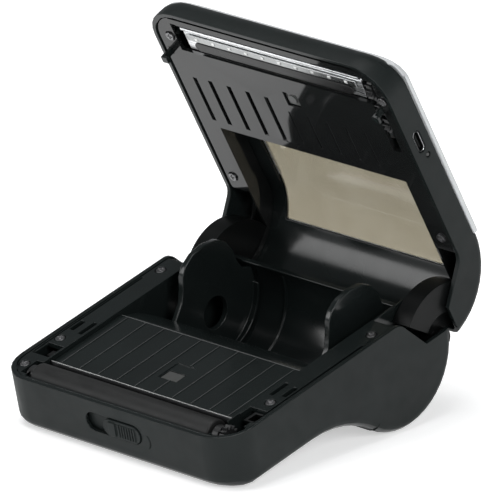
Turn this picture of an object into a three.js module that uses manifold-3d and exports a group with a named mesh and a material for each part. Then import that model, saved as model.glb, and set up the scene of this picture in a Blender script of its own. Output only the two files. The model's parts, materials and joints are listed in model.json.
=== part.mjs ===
// Portable label maker with its lid standing open.
//
// Everything is drawn in the body frame: x to the right, y from the front wall towards the
// hinge, z up from the seam between base and lid. The lid is drawn shut and swung open by
// its own group. One outer group tips the body onto its feet: the roll barrel hangs lower
// than the front edge, so the machine stands nose down.
import * as THREE from "three";
import { mergeVertices } from "three/addons/utils/BufferGeometryUtils.js";
import Module from "manifold-3d";

const wasm = await Module();
wasm.setup();

// ---- driving dimensions, mm ----
const HALF = 56.5; // half the width of the body
const WALL = 1.8; // moulded wall
const GAP = 0.3; // play between neighbouring pieces
const TOP = 12.8; // closed lid above the seam
const DEEP = 21.5; // base below the seam
const EDGE = 3.5; // rounding along the side edges
const CORNER = 14; // front corners seen from above
const NOSE = 10.5; // rounding of the lid's front edge
const CHIN = 5; // rounding of the base's front edge
const BARREL = { y: 91.3, z: -14.2, r: 27 }; // round housing of the paper roll
const ARCH = { y: 42, r: 44.5 }; // hollow curve under the base, ahead of the barrel
const LEDGE = -14; // seam height behind the sloping cut
const HINGE = { y: 116, z: -19 };
const OPEN = 73.5; // lid opening angle, degrees
const TILT = 13; // nose-down tilt on the table, degrees
const LIFT = 20.6; // seam height at y = 0 once the body stands on its feet
const MIDDLE = 68.13; // level distance from the seam's front end back to the middle of the footprint

const BAY = 44.5; // half the inner width of the paper path
const CRADLE = 22; // inner radius of the roll cradle
const PLATEN = { y: 8.6, z: -3.9, r: 5.4 };
const GUIDE_X = 34.3; // inner face of each roll guide from the middle
const PINION = { y: 61, module: 0.8, teeth: 10 };
const RACK_Z = [-18.2, -15.8];
const GEAR_X = [46.8, 49.2];
const GEAR_MODULE = 0.6;
const EAR = { x0: 46, x1: 53.9, r: 21.4, pocket: 10.2 };
const LATCH = { z: -8.6, length: 27, height: 7.6 };
const WINDOW = { x: 38, y0: 62, angle: 52 };

// ---- materials ----
const paint = (color, roughness, metalness = 0, extra = {}) =>
  new THREE.MeshStandardMaterial({ color, roughness, metalness, flatShading: true, ...extra });
const MAT = {
  shell: paint(0x3c403f, 0.55),
  gloss: paint(0x141516, 0.22),
  cover: paint(0xc9cbcc, 0.5),
  smoke: paint(0x6e6a5c, 0.12, 0, { transparent: true, opacity: 0.45 }),
  rubber: paint(0x1b1b1b, 0.85),
  steel: paint(0xb4b6b8, 0.3, 1),
  chrome: paint(0xdfe1e3, 0.12, 1),
  ceramic: paint(0x9a9c9c, 0.25, 0.6),
  acetal: paint(0x202122, 0.4),
  board: paint(0x1f5a3a, 0.5),
  cell: paint(0x2a2d33, 0.4),
  tape: paint(0xb98a3c, 0.45),
  lens: paint(0x9aa0a2, 0.2),
  motor: paint(0x7d8184, 0.4, 0.8),
};

// ---- solids ----
const rad = THREE.MathUtils.degToRad;
const ALONG_X = new THREE.Matrix4().makeBasis(
  new THREE.Vector3(0, 1, 0), new THREE.Vector3(0, 0, 1), new THREE.Vector3(1, 0, 0));
const ALONG_Y = new THREE.Matrix4().makeBasis(
  new THREE.Vector3(1, 0, 0), new THREE.Vector3(0, 0, 1), new THREE.Vector3(0, -1, 0));

function solid(geometry) {
  geometry.deleteAttribute("normal");
  geometry.deleteAttribute("uv");
  const g = mergeVertices(geometry, 1e-4);
  return new wasm.Manifold(new wasm.Mesh({
    numProp: 3,
    vertProperties: new Float32Array(g.attributes.position.array),
    triVerts: new Uint32Array(g.index.array),
  }));
}

function outline(points) {
  const v = points.map(([a, b]) => new THREE.Vector2(a, b));
  if (THREE.ShapeUtils.area(v) < 0) v.reverse();
  return new THREE.Shape(v);
}

function extrude(points, depth, bevel = 0) {
  return new THREE.ExtrudeGeometry(outline(points), {
    depth: depth - 2 * bevel,
    bevelEnabled: bevel > 0,
    bevelSize: bevel,
    bevelThickness: bevel,
    bevelSegments: 3,
    steps: 1,
  }).translate(0, 0, bevel);
}

// Side profile (y, z) drawn out between two x positions.
const slabX = (points, x0, x1, bevel = 0) =>
  solid(extrude(points, x1 - x0, bevel).applyMatrix4(ALONG_X).translate(x0, 0, 0));
// Front profile (x, z) drawn out between two y positions.
const slabY = (points, y0, y1) => solid(extrude(points, y1 - y0).applyMatrix4(ALONG_Y).translate(0, y1, 0));
// Plan profile (x, y) drawn out between two heights.
const slabZ = (points, z0, z1) => solid(extrude(points, z1 - z0).translate(0, 0, z0));

const box = (x0, x1, y0, y1, z0, z1) => solid(
  new THREE.BoxGeometry(x1 - x0, y1 - y0, z1 - z0).translate((x0 + x1) / 2, (y0 + y1) / 2, (z0 + z1) / 2));
const rodX = (y, z, r, x0, x1, n = 20) => solid(
  new THREE.CylinderGeometry(r, r, x1 - x0, n).rotateZ(Math.PI / 2).translate((x0 + x1) / 2, y, z));
const rodZ = (x, y, r, z0, z1, n = 20) => solid(
  new THREE.CylinderGeometry(r, r, z1 - z0, n).rotateX(Math.PI / 2).translate(x, y, (z0 + z1) / 2));

function arc(cy, cz, r, from, to, n) {
  return Array.from({ length: n + 1 }, (_, i) => {
    const t = rad(from + ((to - from) * i) / n);
    return [cy + r * Math.cos(t), cz + r * Math.sin(t)];
  });
}

function rounded(a0, a1, b0, b1, r, n = 4) {
  return [
    ...arc(a1 - r, b1 - r, r, 0, 90, n),
    ...arc(a0 + r, b1 - r, r, 90, 180, n),
    ...arc(a0 + r, b0 + r, r, 180, 270, n),
    ...arc(a1 - r, b0 + r, r, 270, 360, n),
  ];
}

const mirror = (m) => m.mirror([1, 0, 0]);
const join = (...list) => list.reduce((a, b) => a.add(b));

// ---- the closed body: one side profile, inset by t, rounded along both side edges ----
const archZ = -DEEP - ARCH.r;
const archEnd = THREE.MathUtils.radToDeg(Math.atan2(BARREL.z - archZ, BARREL.y - ARCH.y));

function sideProfile(t) {
  return [
    ...arc(CHIN, CHIN - DEEP, CHIN - t, 180, 270, 4),
    [BLEND, t - DEEP],
    ...arc(ARCH.y, archZ, ARCH.r + t, 90, archEnd, 6),
    ...arc(BARREL.y, BARREL.z, BARREL.r - t, archEnd + 180, 450, 26),
    [BLEND, TOP - t],
    ...arc(NOSE, TOP - NOSE, NOSE - t, 90, 180, 6),
  ];
}

function planProfile(t) {
  const x = HALF - t;
  return [
    [x, 140],
    [-x, 140],
    ...arc(CORNER - HALF, CORNER, CORNER - t, 180, 270, 6),
    ...arc(HALF - CORNER, CORNER, CORNER - t, 270, 360, 6),
  ];
}

// Sections across the width: the front draws back round the corners seen from above, then the
// whole profile shrinks round the side edge. BLEND is how far back the drawing-in is felt.
const BLEND = 22;
const CORNER_STEPS = [0, 16, 33];
const EDGE_STEPS = [0, 30, 60, 90];

function body(t) {
  const bevel = Math.max(EDGE - t, 0);
  const radius = CORNER - t;
  const stations = [
    ...CORNER_STEPS.map((a) => ({ x: HALF - CORNER + radius * Math.sin(rad(a)), inset: t })),
    ...EDGE_STEPS.map((a) => ({
      x: HALF - t - bevel * (1 - Math.sin(rad(a))),
      inset: t + bevel * (1 - Math.cos(rad(a))),
    })),
  ].filter((s, i, all) => i === 0 || s.x > all[i - 1].x + 0.01);
  const section = ({ x, inset }) => {
    const front = CORNER - Math.sqrt(Math.max(radius ** 2 - (Math.abs(x) - HALF + CORNER) ** 2, 0));
    const draw = (BLEND - front) / (BLEND - inset);
    return sideProfile(inset).map(([y, z]) => [x, y < BLEND ? front + (y - inset) * draw : y, z]);
  };
  const rings = [...stations.map((s) => ({ ...s, x: -s.x })).reverse(), ...stations].map(section);
  const n = rings[0].length;
  const index = [];
  for (let i = 0; i + 1 < rings.length; i += 1) {
    for (let j = 0; j < n; j += 1) {
      const [a, b] = [i * n + j, i * n + ((j + 1) % n)];
      index.push(a, b, b + n, a, b + n, a + n);
    }
  }
  const last = (rings.length - 1) * n;
  const cap = rings[0].map(([, y, z]) => new THREE.Vector2(y, z));
  for (const [a, b, c] of THREE.ShapeUtils.triangulateShape(cap, [])) index.push(a, c, b, last + a, last + b, last + c);
  const geometry = new THREE.BufferGeometry();
  geometry.setAttribute("position", new THREE.Float32BufferAttribute(rings.flat(2), 3));
  geometry.setIndex(index);
  return solid(geometry);
}

// The seam, raised by t: flat along the rim, sloping down past the roll bay, level again at the
// back, where it rises by twice t so that the lid's rear edge swings clear of the base.
function aboveSeam(t, inset = 0) {
  return slabX([
    [-10, t],
    ...arc(90.2, t - 5.6, 5.6, 90, 38, 4),
    [104.4 + t, LEDGE + 2 * t],
    [140, LEDGE + 2 * t],
    [140, 60],
    [-10, 60],
  ], -70 + inset, 70 - inset);
}

// ---- gears: straight-flanked teeth ----
function gear(module, teeth, bore, phase, thick) {
  const pitch = (module * teeth) / 2;
  const points = [];
  for (let i = 0; i < teeth; i += 1) {
    const at = (a, r) => {
      const t = ((i + a) / teeth) * 2 * Math.PI + phase;
      points.push([r * Math.cos(t), r * Math.sin(t)]);
    };
    at(-0.3, pitch - 1.15 * module);
    at(-0.1, pitch + 0.85 * module);
    at(0.1, pitch + 0.85 * module);
    at(0.3, pitch - 1.15 * module);
  }
  const shape = outline(points);
  shape.holes.push(new THREE.Path(arc(0, 0, bore, 0, 345, 23).reverse().map(([a, b]) => new THREE.Vector2(a, b))));
  return new THREE.ExtrudeGeometry(shape, { depth: thick, bevelEnabled: false });
}

const gearX = (y, z, teeth, bore, phase) => solid(
  gear(GEAR_MODULE, teeth, bore, phase, GEAR_X[1] - GEAR_X[0]).applyMatrix4(ALONG_X).translate(GEAR_X[0], y, z));

// Angle that turns a gear so that it meshes with its neighbour across their line of centres.
function meshPhase(from, to, fromTeeth, fromPhase, toTeeth) {
  const line = Math.atan2(to.z - from.z, to.y - from.y);
  const turn = ((line - fromPhase) * fromTeeth) / toTeeth;
  return line + Math.PI + turn + Math.PI / toTeeth;
}

// ---- screw: pan head with a cross recess ----
function screw(x, y, z, reach) {
  const head = rodZ(x, y, 1.8, z, z + 1.1, 16);
  const shank = rodZ(x, y, 0.95, z - reach, z + 0.2, 10);
  const slotA = box(x - 1.2, x + 1.2, y - 0.25, y + 0.25, z + 0.6, z + 2);
  const slotB = box(x - 0.25, x + 0.25, y - 1.2, y + 1.2, z + 0.6, z + 2);
  return head.add(shank).subtract(slotA).subtract(slotB);
}

function coil(x, y, z0, z1, r, wire, turns) {
  class Helix extends THREE.Curve {
    getPoint(t, target = new THREE.Vector3()) {
      const a = t * turns * 2 * Math.PI;
      return target.set(x + r * Math.cos(a), y + r * Math.sin(a), z0 + (z1 - z0) * t);
    }
  }
  const steps = Math.round(turns * 10);
  const shape = outline(arc(0, 0, wire, 0, 300, 5));
  return solid(new THREE.ExtrudeGeometry(shape, { steps, extrudePath: new Helix(), bevelEnabled: false }));
}

// ---- groups ----
const whole = new THREE.Group();
const stand = new THREE.Group();
stand.rotation.x = rad(TILT);
stand.position.set(0, -MIDDLE, LIFT);
const lid = new THREE.Group();
lid.position.set(0, HINGE.y, HINGE.z);
lid.rotation.x = -rad(OPEN);
const lidParts = new THREE.Group();
lidParts.position.set(0, -HINGE.y, -HINGE.z);
lid.add(lidParts);
stand.add(lid);
whole.add(stand);

function part(group, name, manifold, material) {
  const m = manifold.getMesh();
  const g = new THREE.BufferGeometry();
  g.setAttribute("position", new THREE.BufferAttribute(new Float32Array(m.vertProperties), 3));
  g.setIndex(new THREE.BufferAttribute(new Uint32Array(m.triVerts), 1));
  g.computeVertexNormals();
  const mesh = new THREE.Mesh(g, material);
  mesh.name = name;
  group.add(mesh);
}
const base = (name, manifold, material) => part(stand, name, manifold, material);
const top = (name, manifold, material) => part(lidParts, name, manifold, material);

// ======================= base =======================
const RIM_SCREWS = [
  { name: "front_left", x: -50.4, y: 9.2 },
  { name: "middle_left", x: -51.2, y: 28.8 },
  { name: "middle_right", x: 50, y: 30 },
  { name: "rear_left", x: -51.2, y: 83 },
  { name: "rear_right", x: 51.2, y: 83 },
];

// Outer shell with the latch opening, screw posts, the pinion post and the hinge knuckles.
const latchHole = slabY(rounded(-LATCH.length / 2, LATCH.length / 2, LATCH.z - LATCH.height / 2,
  LATCH.z + LATCH.height / 2, LATCH.height / 2 - 0.01, 6), -2, 4);
let baseShell = body(0).subtract(body(WALL));
const knuckle = rodX(HINGE.y, HINGE.z, 2.3, 40, 45.4, 16)
  .add(slabX([[115, -23], [116.6, -23], [118.2, -19], [116, -17.5]], 40, 45.4));
for (const s of RIM_SCREWS) {
  baseShell = baseShell.add(rodZ(s.x, s.y, 2.4, -40, -2.7, 12).subtract(rodZ(s.x, s.y, 1.3, -9, 0, 12)).intersect(body(1)));
}
baseShell = join(baseShell, knuckle, mirror(knuckle), rodZ(0, PINION.y, 1.1, -26.5, -15.4, 12))
  .subtract(aboveSeam(0))
  .subtract(latchHole)
  .subtract(rodX(HINGE.y, HINGE.z, 1.4, 30, 54, 14))
  .subtract(rodX(HINGE.y, HINGE.z, 1.4, -54, -30, 14));
// Room behind the ears for the lid's hinge arms to swing through the back wall.
const hingeGate = box(45.7, 54.4, 111, 124, -24, -10);
baseShell = baseShell.subtract(hingeGate).subtract(mirror(hingeGate));
// Pockets for the four feet, cut level with the table although the body is tipped.
const FEET = [
  { name: "front", x0: 30, x1: 42, y0: 14, y1: 18.2, rise: 3.2 },
  { name: "rear", x0: 26, x1: 40, y0: 87.7, y1: 96.7, rise: 1.6 },
];
const footBlock = (f, grow) => box(f.x0 - grow, f.x1 + grow, f.y0 - grow, f.y1 + grow, -LIFT - grow * 9,
  -LIFT + f.rise + grow).rotate([-TILT, 0, 0]);
for (const f of FEET) {
  const pocket = footBlock(f, GAP);
  baseShell = baseShell.subtract(pocket).subtract(mirror(pocket));
}
// Boss and stake that hold the latch's detent leaf.
baseShell = join(baseShell, box(-27, -21, 1.6, 4.6, -13.4, -10.2), box(-24.6, -23.4, 4.4, 6, -12.3, -11.3));

// Curved lock mark sunk into the front wall beside the latch.
baseShell = baseShell.subtract(slabY([...arc(14.2, -10, 3.6, -45, 45, 6), ...arc(13.4, -10, 3.9, 42, -42, 6)], -1, 0.4));
base("base_shell", baseShell, MAT.shell);
for (const f of FEET) {
  const pad = footBlock(f, 0);
  base(`foot_${f.name}_left`, mirror(pad), MAT.rubber);
  base(`foot_${f.name}_right`, pad, MAT.rubber);
}

// Black inner frame: rim plate, side walls of the paper path and two cross walls.
const sideWall = slabX([
  [3, -GAP], [98, -GAP], ...arc(BARREL.y, BARREL.z, CRADLE + 0.6, 37.9, 16, 3), [112.6, -16], [108, -28], [84, -38],
  [60, -19.2], [3, -19.2],
], BAY, BAY + 0.9).intersect(body(WALL + GAP));
const rim = slabZ(planProfile(WALL + GAP), -2.4, -GAP).subtract(box(-BAY - 0.01, BAY + 0.01, 3, 150, -9, 9))
  .subtract(box(-70, 70, 91, 150, -9, 9));
let frame = join(
  rim,
  sideWall,
  mirror(sideWall),
  box(-BAY - 0.4, BAY + 0.4, 14.9, 16.1, -19.2, -4.6),
  box(-BAY - 0.4, BAY + 0.4, 52, 53.2, -19.2, -4.6),
);
const gearWell = box(45, 52.6, 3, 19.2, -9, 9);
const bearingWell = rodX(PLATEN.y, PLATEN.z, 4.3, -47.7, 54, 24)
  .add(box(-47.7, 54, PLATEN.y - 4.3, PLATEN.y + 4.3, PLATEN.z, 3));
const leftWell = box(-47.7, -45, 4.2, 13, -9, 9);
const hookWell = box(45.5, 53.6, 16.6, 24.6, -9, 9);
const barNotch = box(-46, 46, 11.8, 15, -19.5, -15.7);
const slotA = box(-52.6, -50.5, 35.2, 42, -9, 9);
const slotB = box(-47.5, -45.6, 34.2, 43, -9, 9);
const groove = box(-54.0, -53.2, 18, 76, -1.1, 9);
frame = frame
  .subtract(bearingWell).subtract(barNotch)
  .subtract(gearWell).subtract(leftWell)
  .subtract(hookWell).subtract(mirror(hookWell))
  .subtract(slotA).subtract(mirror(slotA)).subtract(slotB).subtract(mirror(slotB))
  .subtract(groove).subtract(mirror(groove));
for (const s of RIM_SCREWS) {
  frame = frame.subtract(rodZ(s.x, s.y, 1.3, -9, 9, 12)).subtract(rodZ(s.x, s.y, 2.2, -1.7, 9, 16));
}
base("base_inner_frame", frame, MAT.gloss);
for (const s of RIM_SCREWS) base(`rim_screw_${s.name}`, screw(s.x, s.y, -1.4, 6), MAT.steel);

// Ribbed plate the paper slides over, its steel peel bar and the paper sensor under a small lens.
let plate = slabX([[17, -3.9], [17, -2.6], [17.8, -2], [53.6, -2], [54.6, -2.6], [54.6, -3.9]], -BAY + GAP, BAY - GAP);
for (let i = 0; i < 10; i += 1) {
  const x = -40.5 + 9 * i;
  plate = plate.add(box(x - 0.2, x + 0.2, 17.8, 53.2, -2.2, -1.7));
}
const SENSOR = { x: 2.8, y: 30 };
plate = plate.subtract(box(SENSOR.x - 4.5, SENSOR.x + 4.5, SENSOR.y - 3.2, SENSOR.y + 7.5, -2.4, 0))
  .subtract(box(SENSOR.x - 4, SENSOR.x + 4, SENSOR.y - 2.7, SENSOR.y + 2.7, -9, 0));
base("paper_plate", plate, MAT.gloss);
const peelEdge = [[15, -4.3], [16.7, -4.3], [16.7, -1.3], [16.1, -1.2], [15.2, -2.8]];
base("peel_bar", slabX(peelEdge, -BAY + GAP, BAY - GAP), MAT.steel);
base("paper_sensor", join(
  box(SENSOR.x - 3.7, SENSOR.x + 3.7, SENSOR.y - 2.4, SENSOR.y + 2.4, -4.4, -2.5),
  box(SENSOR.x - 5, SENSOR.x + 5, SENSOR.y - 4, SENSOR.y + 4, -6.4, -4.2),
), MAT.lens);

// Roll cradle: round trough with an apron rising to the plate, a rear lip and the guides' slots.
let cradle = slabX([
  [55, -3.9], [55, -2.7], [62, -5.2], ...arc(BARREL.y, BARREL.z, CRADLE, 170, 376, 24),
  ...arc(BARREL.y, BARREL.z, CRADLE + 1.5, 376, 176, 24), [62, -6.8],
], -BAY + GAP, BAY - GAP);
for (const x of [-20, 20]) {
  const ring = slabX([
    ...arc(BARREL.y, BARREL.z, CRADLE - 0.5, 190, 370, 20),
    ...arc(BARREL.y, BARREL.z, CRADLE + 0.5, 370, 190, 20),
  ], x - 0.6, x + 0.6);
  cradle = cradle.add(ring);
}
cradle = cradle.add(box(-BAY + 6, BAY - 6, 111.2, 113.4, -8.4, -7.4));
const guideSlot = box(8, 42.6, 66, 72.5, -15.7, -13.7);
const knuckleRoom = rodX(HINGE.y, HINGE.z, 2.8, 39.6, 50, 16);
cradle = cradle.subtract(guideSlot).subtract(mirror(guideSlot))
  .subtract(knuckleRoom).subtract(mirror(knuckleRoom));
base("roll_cradle", cradle, MAT.gloss);

// Roll guides: a rounded tab with a core hole, a foot hugging the cradle and a rack in front.
const tab = slabX([
  ...arc(BARREL.y, BARREL.z, CRADLE - 0.8, 172, 372, 24),
  [107.6, -8], [105.4, -3.6], [104.2, 2], [101.2, 6.6], [97, 9.2], [90.5, 10.2], [84.4, 9.4], [79.6, 6.9],
  [77.4, 3.4], [76.5, -1.2], [75, -6],
], GUIDE_X, GUIDE_X + 2.4);
const foot = slabX([
  ...arc(BARREL.y, BARREL.z, CRADLE - 0.8, 188, 356, 20),
  ...arc(BARREL.y, BARREL.z, CRADLE - 1.9, 356, 188, 20),
], GUIDE_X - 2.3, GUIDE_X + 1);
const core = rodX(90.5, -17.8, 6.2, 30, 40, 24);
const rackPitch = Math.PI * PINION.module;
function rack(y, side) {
  // Teeth point towards the pinion; side is +1 when they face +y.
  const bar = box(-12.4, 36.7, Math.min(y - side * 2.7, y - side * 1.0), Math.max(y - side * 2.7, y - side * 1.0),
    RACK_Z[0], RACK_Z[1]);
  let out = bar;
  for (let x = -3.5 * rackPitch; x < 30; x += rackPitch) {
    const w = 0.3 * rackPitch;
    const n = 0.11 * rackPitch;
    out = out.add(slabZ([
      [x - w, y - side * 1.1], [x + w, y - side * 1.1], [x + n, y + side * 0.62], [x - n, y + side * 0.62],
    ], RACK_Z[0], RACK_Z[1]));
  }
  return out;
}
const stem = (y) => join(
  box(GUIDE_X, GUIDE_X + 2.4, y, 72, -15.3, -14.1),
  box(GUIDE_X, GUIDE_X + 2.4, y, y + 1.7, RACK_Z[0], -14.1),
);
const reach = (PINION.module * PINION.teeth) / 2;
const guideRight = join(tab.subtract(core), foot, stem(PINION.y + reach + 1.0), rack(PINION.y + reach, -1));
const guideLeft = mirror(join(tab.subtract(core), foot, stem(PINION.y - reach - 2.7), rack(PINION.y - reach, 1)));
base("roll_guide_left", guideLeft, MAT.gloss);
base("roll_guide_right", guideRight, MAT.gloss);
base("guide_pinion", solid(gear(PINION.module, PINION.teeth, 1.4, Math.PI / 2, RACK_Z[1] - RACK_Z[0])
  .translate(0, PINION.y, RACK_Z[0])), MAT.acetal);

// Platen: rubber roller on a steel shaft, carried by two bushings, with a gear at the right end.
const sleeve = rodX(PLATEN.y, PLATEN.z, PLATEN.r, -43, 43, 32).subtract(rodX(PLATEN.y, PLATEN.z, 2.2, -60, 60, 20));
base("platen_roller", sleeve, MAT.rubber);
const flat = box(46.6, 60, PLATEN.y - 3, PLATEN.y + 3, PLATEN.z + 1.2, PLATEN.z + 4);
base("platen_shaft", rodX(PLATEN.y, PLATEN.z, 1.8, -47.2, 51.2, 20).subtract(flat), MAT.steel);
const bush = join(rodX(PLATEN.y, PLATEN.z, 3.9, 43.6, 46.4, 24), rodX(PLATEN.y, PLATEN.z, 3.0, 43.4, 46.6, 24))
  .subtract(rodX(PLATEN.y, PLATEN.z, 2.1, 40, 50, 20));
base("platen_bushing_left", mirror(bush), MAT.acetal);
base("platen_bushing_right", bush, MAT.acetal);

// Latch: thumb slider in the front wall, its cross bar with two catches and a detent leaf.
const THUMB = { x: 4.3, half: 8.9 };
const thumb = slabY(rounded(THUMB.x - THUMB.half, THUMB.x + THUMB.half, LATCH.z - 3.45, LATCH.z + 3.45, 3.4, 6), -0.5, 2.3);
const notch = (x) => slabZ([[x - 0.7, 4.6], [x + 0.7, 4.6], [x, 3.7]], -14, -9);
const LEAF = { y0: 4.9, y1: 5.2, bump: 4.5 };
let slider = join(
  thumb,
  box(-15.5, 17, 2.1, 2.9, LATCH.z - 4.8, LATCH.z + 4.6),
  box(1, 7, 2.5, 10.4, -15.8, -14.4),
  box(1, 7, 2.5, 4, -15.8, -12),
  box(3.1, 4.9, 8.9, 10.4, -17.9, -15),
  box(-15.5, -8.5, 2.5, 4.2, -12.9, -10.7).subtract(notch(-13)).subtract(notch(-11)),
);
slider = slider.add(box(-1.6, 1.6, -1.1, 0, LATCH.z - 2.7, LATCH.z + 2.7));
for (let i = 0; i < 7; i += 1) {
  slider = slider.add(box(2.9 + 1.25 * i, 3.45 + 1.25 * i, -0.95, 0, LATCH.z - 2.6, LATCH.z + 2.6));
}
base("latch_slider", slider, MAT.shell);
// The left catch is a tongue; the right one is a plate with a window its hook drops through.
const HOOK_Y = [19.4, 22.2];
const latchBar = join(
  box(-47.2, 48.9, 12.3, 14.5, -17.6, -16.2),
  box(-47.2, -45.7, 12.3, 22.6, -17.6, -16.2),
  box(-47.2, -45.7, 19.2, 22.6, -17.6, -1.7),
  box(-49, -45.7, 19.2, 22.6, -2.9, -1.7),
  box(47.7, 48.9, 12.3, 22.6, -17.6, -16.2),
  box(47.7, 48.9, 19.2, 22.6, -17.6, -1.7),
  box(47.7, 53.3, 18, 24.2, -2.9, -1.7).subtract(box(48.9, 52.6, 18.9, 23.3, -5, 0)),
  box(0.6, 7.4, 7.2, 12.6, -17.6, -16.2),
).subtract(box(2.7, 5.3, 8.5, 10.8, -19, -15));
base("latch_bar", latchBar, MAT.steel);
const leaf = slabZ([
  [-26.6, LEAF.y0], [-14.2, LEAF.y0], [-13.2, LEAF.bump], [-12.8, LEAF.bump], [-11.8, LEAF.y0], [-9.4, LEAF.y1],
  [-9.6, LEAF.y1 + 0.3], [-12, LEAF.y1], [-26.6, LEAF.y1],
], -13.2, -10.4).subtract(box(-24.9, -23.1, 4, 6, -12.6, -11));
base("latch_detent", leaf, MAT.steel);

// Hinge pins between the base's knuckles and the lid's ears.
const pin = rodX(HINGE.y, HINGE.z, 1.1, 40.3, 50.6, 14);
base("hinge_pin_left", mirror(pin), MAT.steel);
base("hinge_pin_right", pin, MAT.steel);

// ======================= lid, drawn shut =======================
const LID_SCREWS = [
  { name: "front_left", x: -48.5, y: 12.6 },
  { name: "front_right", x: 52.2, y: 16 },
  { name: "rear_left", x: -50.5, y: 84.5 },
  { name: "rear_right", x: 50.5, y: 84.5 },
];
const COVER = { y0: 7, y1: 90, z: 11.6, lip: 10.6, skirt: 1, proud: 1.2 };
const FLOOR = [9.9, COVER.z - GAP]; // inner deck under the light cover
const PLATE_Z = [0.9, 2.4]; // black inner plate
const BUTTON = { x: -24, y: 24, r: 5 };
const PORT = { y: 38.4, z: 5, w: 9, h: 3.2 };
const LAMP = { y: 46, z: 6.4, r: 0.8 };

// Window opening, grown by g: flat over the deck, then round with the barrel.
function pane(g) {
  const end = WINDOW.angle - (g / BARREL.r) * 57.3;
  return slabX([
    [WINDOW.y0 - g, TOP + 5], [WINDOW.y0 - g, TOP - 6], [BARREL.y, TOP - 6],
    ...arc(BARREL.y, BARREL.z, BARREL.r - 6, 84, end, 5),
    ...arc(BARREL.y, BARREL.z, BARREL.r + 5, end, 90, 6),
  ], -WINDOW.x - g, WINDOW.x + g);
}

// Centres of the gear train, from the gear that meets the platen back to the motor.
const at = (from, z, distance) => ({ y: from.y + Math.sqrt(distance ** 2 - (z - from.z) ** 2), z });
const spacing = (a, b) => (GEAR_MODULE * (a + b)) / 2;
const driveAt = at(PLATEN, 4.4, spacing(16, 14) + 0.1);
const idlerOneAt = at(driveAt, 5, spacing(16, 14) + 0.1);
const idlerTwoAt = at(idlerOneAt, 5, spacing(14, 14) + 0.1);
const motorAt = at(idlerTwoAt, 6.3, spacing(14, 8) + 0.1);

// The cover's room, grown by g: everything above its seat, and a skirt down the sides.
const coverRoom = (g) => join(
  box(-70, 70, COVER.y0 - g, COVER.y1 + g, COVER.z - g, 40),
  box(-70, 70, COVER.y0 - g, COVER.y1 + g, COVER.lip - g, 40).subtract(body(COVER.skirt + g)),
);
// Shell: nose, side bands, inner deck and the rear half of the barrel.
const coverCut = coverRoom(GAP);
const portCut = slabX(rounded(PORT.y - PORT.w / 2 - GAP, PORT.y + PORT.w / 2 + GAP, PORT.z - PORT.h / 2 - GAP,
  PORT.z + PORT.h / 2 + GAP, 1.8, 4), 54, 60);
let lidShell = body(0).subtract(body(WALL)).add(body(1).intersect(box(-70, 70, 3, 92, ...FLOOR)));
for (const s of LID_SCREWS) {
  lidShell = lidShell.add(rodZ(s.x, s.y, 2.4, 2.7, 11, 12).intersect(body(1)).subtract(rodZ(s.x, s.y, 1.3, 0, 9, 12)));
}
for (const axle of [driveAt, idlerOneAt, idlerTwoAt]) lidShell = lidShell.add(rodX(axle.y, axle.z, 0.9, 46.9, 55.5, 12));
lidShell = lidShell.intersect(aboveSeam(GAP)).subtract(coverCut).subtract(pane(GAP)).subtract(portCut)
  .subtract(rodX(LAMP.y, LAMP.z, LAMP.r + GAP, 53, 60, 12))
  .subtract(rodZ(BUTTON.x, BUTTON.y, BUTTON.r + GAP, 9, 14, 24));
top("lid_shell", lidShell, MAT.shell);
// The cover stands a little proud of the nose, level with the sides.
top("lid_top_cover", body(-COVER.proud).intersect(box(-HALF, HALF, 0, 100, 0, 20)).intersect(coverRoom(0))
  .subtract(pane(GAP)).subtract(rodZ(BUTTON.x, BUTTON.y, BUTTON.r + GAP, 9, 16, 24)), MAT.cover);
top("view_window", body(0).subtract(body(1.5)).intersect(pane(0)), MAT.smoke);

// Hinge ears: round cheeks centred on the hinge that stay nested behind the base's side walls.
const sector = slabX([[HINGE.y, HINGE.z], ...arc(HINGE.y, HINGE.z, EAR.r, 66, 214, 24)], EAR.x0, EAR.x1)
  .intersect(body(WALL + GAP));
const ear = sector.subtract(rodX(HINGE.y, HINGE.z, EAR.pocket, EAR.x1 - 3, 60, 28))
  .add(rodX(HINGE.y, HINGE.z, 4, EAR.x0, EAR.x1 - 0.6, 20))
  .subtract(rodX(HINGE.y, HINGE.z, 1.4, 40, 60, 14));
top("hinge_ear_left", mirror(ear), MAT.gloss);
top("hinge_ear_right", ear, MAT.gloss);

// Inner plate: ribbed deck, strips beside the window and cheeks that close the roll bay.
const cheek = slabX([
  [57, PLATE_Z[0]], [109.2, PLATE_Z[0]], ...arc(BARREL.y, BARREL.z, CRADLE + 1.1, 38, 8, 4),
  ...arc(BARREL.y, BARREL.z, CRADLE + 2.9, 8, 73.5, 8), [91, FLOOR[0] - GAP], [57, FLOOR[0] - GAP],
], 44.9, 45.7);
let inner = slabZ(planProfile(WALL + 2 * GAP), ...PLATE_Z).subtract(box(-70, 70, 91, 150, 0, 9))
  .subtract(box(-45, 45, 58, 99, 0, 9))
  .add(cheek).add(mirror(cheek));
inner = inner.subtract(box(-45.8, 46.2, 7.2, 18.9, 0, 9)).subtract(box(46, 50.2, 7, 42, 0, 9));
// Line along the front rim, and a step that clears the roller when the lid is shut.
inner = inner.subtract(box(-45.8, 46.2, 0, 3.4, 0, 9)).subtract(box(-45.8, 46.2, 5.7, 7.4, 0, 1.8));
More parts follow.
